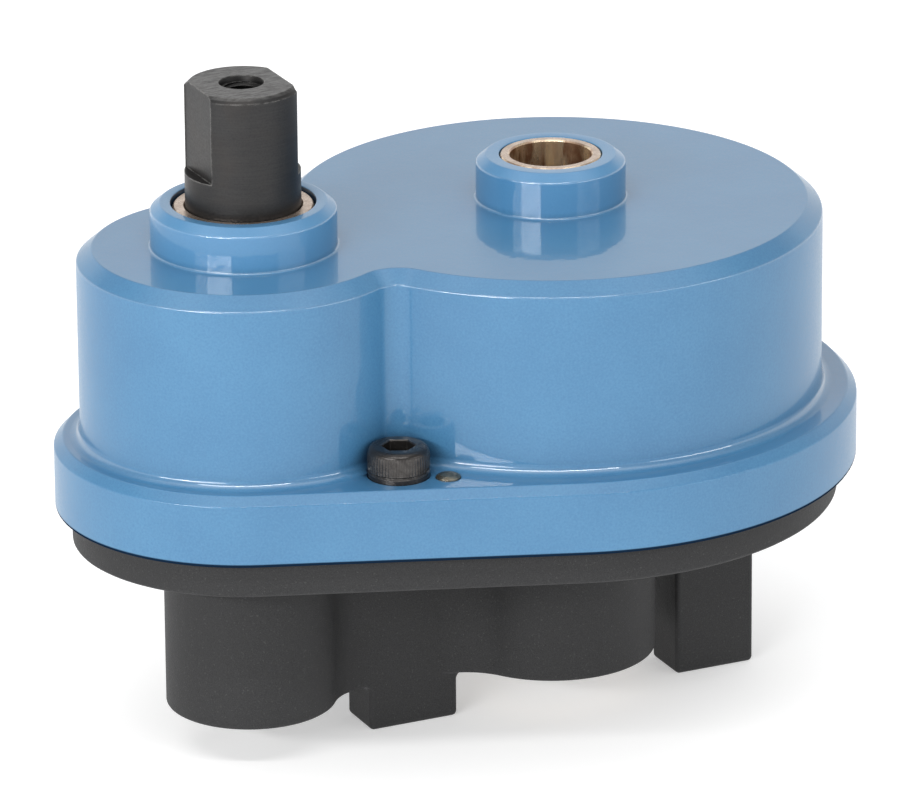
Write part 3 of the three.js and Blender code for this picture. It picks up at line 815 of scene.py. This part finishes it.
# ---------- materials ----------
class Finish:
    """A procedural material in object coordinates, so that its texture moves with the piece."""

    def __init__(self, name, metallic=0.0):
        self.material = bpy.data.materials.new(name)
        self.material.use_nodes = True
        self.tree = self.material.node_tree
        self.shader = self.tree.nodes["Principled BSDF"]
        self.place = self.tree.nodes.new("ShaderNodeTexCoord").outputs["Object"]
        self.shader.inputs["Metallic"].default_value = metallic

    def node(self, kind, values=None, **settings):
        """A shader node with its settings made and its inputs linked or filled in."""
        node = self.tree.nodes.new(kind)
        for key, value in settings.items():
            setattr(node, key, value)
        for key, value in (values or {}).items():
            if isinstance(value, bpy.types.NodeSocket):
                self.tree.links.new(value, node.inputs[key])
            else:
                node.inputs[key].default_value = value
        return node

    def noise(self, size, detail=3.0, stretch=None):
        """Noise from 0 to 1 with features about size millimetres across."""
        place = self.place
        if stretch:
            place = self.node("ShaderNodeMapping", {0: place, "Scale": stretch}).outputs[0]
        values = {"Vector": place, "Scale": 1 / (size * MM), "Detail": detail}
        return self.node("ShaderNodeTexNoise", values).outputs["Fac"]

    def spread(self, value, low, high, to_low=0.0, to_high=1.0):
        """The value's range low to high, stretched to another range and clamped."""
        return self.node("ShaderNodeMapRange", {
            "Value": value, 1: low, 2: high, 3: to_low, 4: to_high}).outputs[0]

    def times(self, a, b):
        return self.node("ShaderNodeMath", {0: a, 1: b}, operation="MULTIPLY").outputs[0]

    def either(self, a, b):
        """The larger of two values."""
        return self.node("ShaderNodeMath", {0: a, 1: b}, operation="MAXIMUM").outputs[0]

    def blend(self, factor, a, b):
        """Colour a where the factor is 0 and colour b where it is 1."""
        opaque = [c if isinstance(c, bpy.types.NodeSocket) else (*c, 1) for c in (a, b)]
        return self.node("ShaderNodeMix", {0: factor, 6: opaque[0], 7: opaque[1]},
                         data_type="RGBA").outputs[2]

    def up(self):
        """1 on faces that look up at rest, and 0 on walls."""
        normal = self.node("ShaderNodeTexCoord").outputs["Normal"]
        return self.spread(self.node("ShaderNodeSeparateXYZ", {0: normal}).outputs[2], 0.6, 0.9)

    def height(self, low, high):
        """0 at the height low and beyond, and 1 at the height high and beyond, at rest."""
        z = self.node("ShaderNodeSeparateXYZ", {0: self.place}).outputs[2]
        return self.spread(z, low * MM, high * MM)

    def band(self, middle, half):
        """1 at the height middle and 0 from half millimetres away from it, at rest."""
        above = self.height(middle - half, middle - half + 0.1)
        below = self.height(middle + half, middle + half - 0.1)
        return self.times(above, below)

    def hollows(self, reach, deep, shallow):
        """1 where less than deep of the sky within reach is open, and 0 where over shallow is."""
        values = {"Distance": reach * MM}
        open_sky = self.node("ShaderNodeAmbientOcclusion", values, samples=8).outputs["AO"]
        return self.spread(open_sky, deep, shallow, 1, 0)

    def rounding(self, reach):
        """Normals that round every edge off by reach millimetres."""
        return self.node("ShaderNodeBevel", {"Radius": reach * MM}, samples=6).outputs[0]

    def edges(self, reach):
        """1 at edges that stand out within reach millimetres, and 0 on flat ground."""
        rounded = self.rounding(reach)
        plain = self.node("ShaderNodeNewGeometry").outputs["True Normal"]
        facing = self.node("ShaderNodeVectorMath", {0: rounded, 1: plain}, operation="DOT_PRODUCT")
        return self.spread(facing.outputs["Value"], 0.995, 0.9)

    def bump(self, height, distance, under=None):
        """Relief of distance millimetres on top of the relief under it."""
        values = {"Height": height, "Distance": distance * MM}
        if under:
            values["Normal"] = under
        return self.node("ShaderNodeBump", values).outputs[0]

    def wear(self, **sockets):
        """Links or sets the shader's sockets, and returns the material."""
        for key, value in sockets.items():
            target = self.shader.inputs[key.replace("_", " ")]
            if isinstance(value, bpy.types.NodeSocket):
                self.tree.links.new(value, target)
            else:
                target.default_value = value
        return self.material


def blue_enamel():
    """Fine-grained blue paint under a clear coat that gathers along the edges."""
    f = Finish("blue_enamel")
    cloud, mottle = f.noise(16), f.noise(0.42)
    colour = f.blend(f.spread(cloud, 0.3, 0.7), (0.048, 0.161, 0.302), (0.057, 0.182, 0.328))
    colour = f.blend(f.spread(mottle, 0.5, 0.75, 0, 0.4), colour, (0.072, 0.212, 0.373))
    colour = f.blend(f.spread(mottle, 0.5, 0.25, 0, 0.45), colour, (0.037, 0.131, 0.264))
    # Painted light: from just above the lobes' top, the bosses' walls and tops take a lighter blue for the light
    # that falls on them.
    painted_light_on_bosses = f.times(f.height(LOBE_TOP_Z + 0.5, LOBE_TOP_Z + 1.5), 0.6)
    colour = f.blend(painted_light_on_bosses, colour, (0.079, 0.23, 0.415))
    rubbed = f.times(f.edges(0.5), f.spread(f.noise(3), 0.45, 0.75, 0, 0.5))
    colour = f.blend(rubbed, colour, (0.16, 0.33, 0.52))
    # Painted shade: the enamel turns near-black navy in hollows and tight corners, such as round the cover screws.
    colour = f.blend(f.times(f.hollows(8, 0.15, 0.5), 0.9), colour, (0.01, 0.026, 0.06))
    pooled = f.band(FLANGE_TOP_Z + 0.85, 0.45)
    for edge_z in (LOBE_TOP_Z - LOBE_CHAMFER[1], LOBE_TOP_Z + 0.3, BOSS_TOP_Z - BOSS_CHAMFER[1]):
        pooled = f.either(pooled, f.band(edge_z, 0.25))
    # Painted shade: the flange's lower rounding, just above the seam, is dark and matte, standing in for its
    # shadow and its dark reflection of the base.
    clear_of_seam_shade = f.height(SEAM_Z + 0.6, SEAM_Z + 0.8)
    colour = f.blend(clear_of_seam_shade, (0.006, 0.016, 0.035), colour)
    peel = f.bump(f.noise(2.2, 1), 0.018)
    return f.wear(
        Base_Color=colour,
        Roughness=f.spread(mottle, 0.3, 0.7, 0.3, 0.42),
        Normal=f.bump(mottle, 0.008, peel),
        Specular_IOR_Level=f.times(clear_of_seam_shade, 0.3),
        Coat_Weight=f.times(clear_of_seam_shade, f.either(f.spread(f.up(), 0, 1, 0.26, 0.54), pooled)),
        Coat_IOR=1.9,
        Coat_Roughness=0.03,
        Coat_Normal=peel,
    )


def black_casting():
    """Rough black paint on cast iron, rubbed at its edges."""
    f = Finish("black_casting")
    grain, lumps, specks = f.noise(0.22, 4), f.noise(3.5), f.noise(0.4, 2)
    colour = f.blend(f.spread(grain, 0.3, 0.75), (0.009, 0.0092, 0.01), (0.033, 0.033, 0.034))
    colour = f.blend(f.spread(specks, 0.62, 0.75, 0, 0.42), colour, (0.078, 0.077, 0.075))
    rubbed = f.times(f.edges(0.6), f.spread(f.noise(2.4), 0.35, 0.7, 0.15, 0.8))
    colour = f.blend(rubbed, colour, (0.1, 0.1, 0.104))
    relief = f.bump(grain, 0.085, f.bump(lumps, 0.1))
    return f.wear(
        Base_Color=colour,
        Roughness=f.spread(grain, 0.3, 0.7, 0.5, 0.72),
        Specular_IOR_Level=0.35,
        Normal=relief,
    )


def black_oxide():
    """Blackened steel with fine turning marks, paler on its faced end and along its edges."""
    f = Finish("black_oxide_steel", metallic=0.85)
    mottle, patches = f.noise(0.35, 3), f.noise(7)
    turning = f.noise(0.3, 3, stretch=(0.05, 0.05, 1))
    colour = f.blend(f.spread(mottle, 0.3, 0.75), (0.032, 0.032, 0.033), (0.046, 0.045, 0.045))
    colour = f.blend(f.spread(turning, 0.4, 0.75, 0, 0.4), colour, (0.056, 0.055, 0.054))
    colour = f.blend(f.spread(patches, 0.45, 0.7, 0, 0.35), colour, (0.05, 0.043, 0.038))
    scratches = f.noise(0.5, 4, stretch=(0.25, 1, 1))
    end_face = f.times(f.up(), f.height(SHAFT_HIGH.z - 0.6, SHAFT_HIGH.z - 0.4))
    faced = f.times(end_face, f.spread(scratches, 0.35, 0.62, 0.25, 1))
    colour = f.blend(faced, colour, (0.19, 0.188, 0.185))
    rubbed = f.times(f.edges(0.5), f.spread(f.noise(1.3), 0.38, 0.6, 0.05, 0.9))
    colour = f.blend(rubbed, colour, (0.25, 0.245, 0.235))
    # Painted shade: down the tapped hole the steel goes near black where little of the sky is open.
    tapped_end = f.height(SHAFT_HIGH.z - 8, SHAFT_HIGH.z - 7)
    colour = f.blend(f.times(f.hollows(9, 0.45, 0.93), tapped_end), colour, (0.004, 0.004, 0.004))
    return f.wear(
        Base_Color=colour,
        Roughness=f.spread(mottle, 0.3, 0.7, 0.36, 0.5),
        Normal=f.bump(mottle, 0.012, f.bump(turning, 0.006, f.rounding(0.12))),
    )


def bronze():
    """Pinkish where the ends were faced, and golden brown in the bores. Painted reflections streak the bores light
    and dark.
    """
    f = Finish("bronze", metallic=0.9)
    mottle, patches, pores = f.noise(0.5, 4), f.noise(3.2, 3), f.noise(0.3, 1)
    streaks = f.noise(2.8, 4, stretch=(1, 1, 0.25))
    # Painted reflections: strong light and dark vertical streaks in the bores, over the bronze's golden brown.
    bore = f.blend(f.spread(streaks, 0.43, 0.58), (0.31, 0.17, 0.1), (1.0, 0.83, 0.58))
    bore = f.blend(f.spread(patches, 0.42, 0.62, 0, 0.35), bore, (0.84, 0.6, 0.39))
    faced = f.blend(f.spread(mottle, 0.3, 0.7), (0.52, 0.4, 0.32), (0.7, 0.58, 0.48))
    colour = f.blend(f.up(), bore, faced)
    colour = f.blend(f.spread(pores, 0.66, 0.74, 0, 0.6), colour, (0.16, 0.09, 0.05))
    rubbed = f.times(f.edges(0.25), f.spread(f.noise(1.2), 0.3, 0.7, 0.2, 0.8))
    colour = f.blend(rubbed, colour, (0.95, 0.8, 0.66))
    return f.wear(
        Base_Color=colour,
        Roughness=f.spread(streaks, 0.35, 0.65, 0.38, 0.2),
        Normal=f.bump(mottle, 0.015, f.bump(streaks, 0.03)),
    )


def bare_metal(name, dark, light, wear_and_glint, roughness, metallic=1.0, grain=0.5):
    """Machined metal with fine marks round the Z axis and brighter edges."""
    f = Finish(name, metallic)
    mottle, patches = f.noise(grain, 4), f.noise(5)
    marks = f.noise(0.3, 2, stretch=(0.05, 0.05, 1))
    colour = f.blend(f.spread(mottle, 0.3, 0.7), dark, light)
    colour = f.blend(f.spread(patches, 0.45, 0.7, 0, 0.4), colour, dark)
    # Lighter edges: wear, and on the cover screws also a painted glint along the head's rounding.
    rubbed = f.times(f.edges(0.3), f.spread(f.noise(1.1), 0.35, 0.65, 0.15, 0.9))
    colour = f.blend(rubbed, colour, wear_and_glint)
    return f.wear(
        Base_Color=colour,
        Roughness=f.spread(patches, 0.3, 0.7, roughness - 0.07, roughness + 0.07),
        Normal=f.bump(mottle, 0.01, f.bump(marks, 0.01)),
    )


def gasket_sheet():
    """Dark fibre sheet."""
    f = Finish("gasket_sheet")
    fibres = f.noise(0.6, 5, stretch=(1, 1, 4))
    colour = f.blend(f.spread(fibres, 0.3, 0.7), (0.012, 0.011, 0.01), (0.05, 0.045, 0.04))
    colour = f.blend(f.edges(0.2), colour, (0.07, 0.062, 0.054))
    return f.wear(
        Base_Color=colour,
        Roughness=f.spread(fibres, 0.3, 0.7, 0.75, 0.95),
        Normal=f.bump(fibres, 0.05),
    )


# ---------- the assembly ----------
SLOTS = {
    "blue_enamel": blue_enamel(),
    "black_casting": black_casting(),
    "gasket_sheet": gasket_sheet(),
    # The screw's edge colour is partly wear and partly a painted glint on its head's rounding.
    "black_screw": bare_metal(
        "black_screw", (0.03, 0.027, 0.026), (0.044, 0.041, 0.039), (0.22, 0.21, 0.2), 0.24, 0.65),
    "dowel_metal": bare_metal(
        "dowel_metal", (0.1, 0.088, 0.066), (0.24, 0.215, 0.165), (0.55, 0.52, 0.44),
        0.34, 0.85, 1.2),
    "bronze": bronze(),
    "black_oxide_steel": black_oxide(),
    "gear_steel": bare_metal(
        "gear_steel", (0.34, 0.34, 0.35), (0.5, 0.5, 0.5), (0.75, 0.75, 0.74), 0.32),
    "spring_steel": bare_metal(
        "spring_steel", (0.07, 0.075, 0.085), (0.14, 0.15, 0.17), (0.4, 0.42, 0.46), 0.35),
}


# A bush's node and the radius of its bore.
BUSHES = {
    "shaft_cover_bush": SHAFT_R + RUNNING / 2,
    "shaft_base_bush": SHAFT_R + RUNNING,
    "hub_cover_bush": HUB_R + RUNNING,
    "hub_base_bush": HUB_R + RUNNING,
    "pilot_bush": HUB_BORE_R,
}
# A CAD node that stays in view, its slot and how far its edges are broken.
KEPT_NODES = {
    "housing_gasket": ("gasket_sheet", 0.1),
    "shaft_washer_lower": ("bronze", 0.15),
    "shaft_washer_upper": ("bronze", 0.15),
    "hub_washer_lower": ("bronze", 0.15),
    "hub_washer_upper": ("bronze", 0.15),
    "output_pinion": ("gear_steel", 0.25),
    "drive_gear": ("gear_steel", 0.25),
    "pinion_key": ("gear_steel", 0.2),
    "gear_key": ("gear_steel", 0.2),
    "shaft_ring_lower": ("spring_steel", 0.1),
    "shaft_ring_upper": ("spring_steel", 0.1),
    "hub_ring": ("spring_steel", 0.1),
}


def place(made, slot, body, node):
    """A finished piece joins its body, and the CAD node that it stands for is hidden. The slot is not used."""
    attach(made, body)
    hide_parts(node)


def refine(node, slot, edge):
    """Keeps a CAD node's own mesh, with its edges broken and its slot's material."""
    obj = frame["nodes"][node]
    obj.data.materials.clear()
    obj.data.materials.append(SLOTS[slot])
    broken = obj.modifiers.new("broken_edges", "BEVEL")
    broken.width = edge * MM
    broken.segments = 2
    broken.limit_method = "ANGLE"
    broken.angle_limit = math.radians(35)
    broken.harden_normals = True


place(cover_housing(SLOTS["blue_enamel"]), "blue_enamel", "housing", "cover_housing")
place(base_housing(SLOTS["black_casting"]), "black_casting", "housing", "base_housing")
for node in SCREWS:
    place(cover_screw(node, SLOTS["black_screw"]), "black_screw", "housing", node)
for node in DOWELS:
    place(dowel_pin(node, SLOTS["dowel_metal"]), "dowel_metal", "housing", node)
for node, inner in BUSHES.items():
    place(bush(node, inner, SLOTS["bronze"]), "bronze", "housing", node)
place(output_shaft(SLOTS["black_oxide_steel"]), "black_oxide_steel", "output_train", "output_shaft")
place(drive_hub(SLOTS["gear_steel"]), "gear_steel", "drive_train", "drive_hub")
for node, (slot, edge) in KEPT_NODES.items():
    refine(node, slot, edge)


# ---------- floor, light and camera ----------
CAMERA_AZIMUTH, CAMERA_ELEVATION, CAMERA_ROLL = (math.radians(d) for d in (-24.88, 20.05, -0.49))
CAMERA_TARGET = Vector((-0.62, 0, 65.18)) * MM
CAMERA_DISTANCE = 1.567          # metres
CAMERA_LENS = 322.04
PALE = (0.8, 0.8, 0.8)
FLOOR_R = 4000
FLOOR_GLOW = 0.38                # the floor is lit from inside like a light table
LIGHTS_AIM = Vector((0, 0, 0.07))    # in metres, as are the lights' distances and sizes
SKY = ((0.35, 1.04), (0.52, 0.4), (0.72, 0.4), (0.93, 1.5))    # (sine of elevation, brightness)


def floor():
    """A wide pale disc to stand on."""
    material = Finish("pale_floor")
    tone = material.blend(material.noise(400, 2), PALE, [c * 0.985 for c in PALE])
    material.wear(
        Base_Color=tone, Roughness=0.9, Emission_Color=(1, 1, 1, 1), Emission_Strength=FLOOR_GLOW)
    shell = Shell()
    shell.fill(shell.ring(circle(0, 0, FLOOR_R), 0))
    shell.piece("floor", material.material)


def softbox(name, azimuth, elevation, distance, size, power):
    """A soft rectangular light. Azimuth 0 is in front, on -Y, and 90 is on +X."""
    light = bpy.data.lights.new(name, "AREA")
    light.shape = "RECTANGLE"
    light.size, light.size_y = size
    light.energy = power
    lamp = bpy.data.objects.new(name, light)
    a, e = math.radians(azimuth), math.radians(elevation)
    away = Vector((math.sin(a) * math.cos(e), -math.cos(a) * math.cos(e), math.sin(e)))
    lamp.location = LIGHTS_AIM + away * distance
    lamp.rotation_euler = away.to_track_quat("Z", "Y").to_euler()
    lamp.visible_camera = False
    bpy.context.scene.collection.objects.link(lamp)


def studio():
    """A key light on the left, weaker ones beside it, to the right and overhead, and a banded sky."""
    scene = bpy.context.scene
    world = bpy.data.worlds.new("studio")
    world.use_nodes = True
    nodes, links = world.node_tree.nodes, world.node_tree.links
    direction = nodes.new("ShaderNodeTexCoord").outputs["Generated"]
    height = nodes.new("ShaderNodeSeparateXYZ")
    bands = nodes.new("ShaderNodeValToRGB")
    for i, (at, level) in enumerate(SKY):
        stop = bands.color_ramp.elements[0] if i == 0 else bands.color_ramp.elements.new(at)
        stop.position = at
        stop.color = (level, level, level, 1)
    links.new(direction, height.inputs[0])
    links.new(height.outputs["Z"], bands.inputs[0])
    links.new(bands.outputs[0], nodes["Background"].inputs["Color"])
    scene.world = world
    softbox("key", -55.5, 20.5, 1.2, (0.6, 0.07), 5.8)
    softbox("key_spill", -78, 20.5, 1.2, (0.3, 0.07), 0.9)
    softbox("fill", 36, 21, 1.2, (0.8, 0.08), 1.3)
    softbox("front", -28, 52, 1.2, (1.1, 0.04), 4.5)
    scene.view_settings.view_transform = "Standard"


def camera():
    """A long lens, from a little above and from the left, with a slight roll."""
    lens = bpy.data.cameras.new("camera")
    lens.lens = CAMERA_LENS
    lens.sensor_width = 36
    lens.clip_start = 0.1
    lens.clip_end = 20
    a, e, r = CAMERA_AZIMUTH, CAMERA_ELEVATION, CAMERA_ROLL
    back = Vector((math.sin(a) * math.cos(e), -math.cos(a) * math.cos(e), math.sin(e)))
    right = Vector((math.cos(a), math.sin(a), 0))
    up = back.cross(right)
    turned_right = right * math.cos(r) + up * math.sin(r)
    turned_up = up * math.cos(r) - right * math.sin(r)
    eye = bpy.data.objects.new("camera", lens)
    eye.matrix_world = Matrix.Translation(CAMERA_TARGET + back * CAMERA_DISTANCE) @ Matrix(
        (turned_right, turned_up, back)).transposed().to_4x4()
    bpy.context.scene.collection.objects.link(eye)
    bpy.context.scene.camera = eye


floor()
studio()
camera()
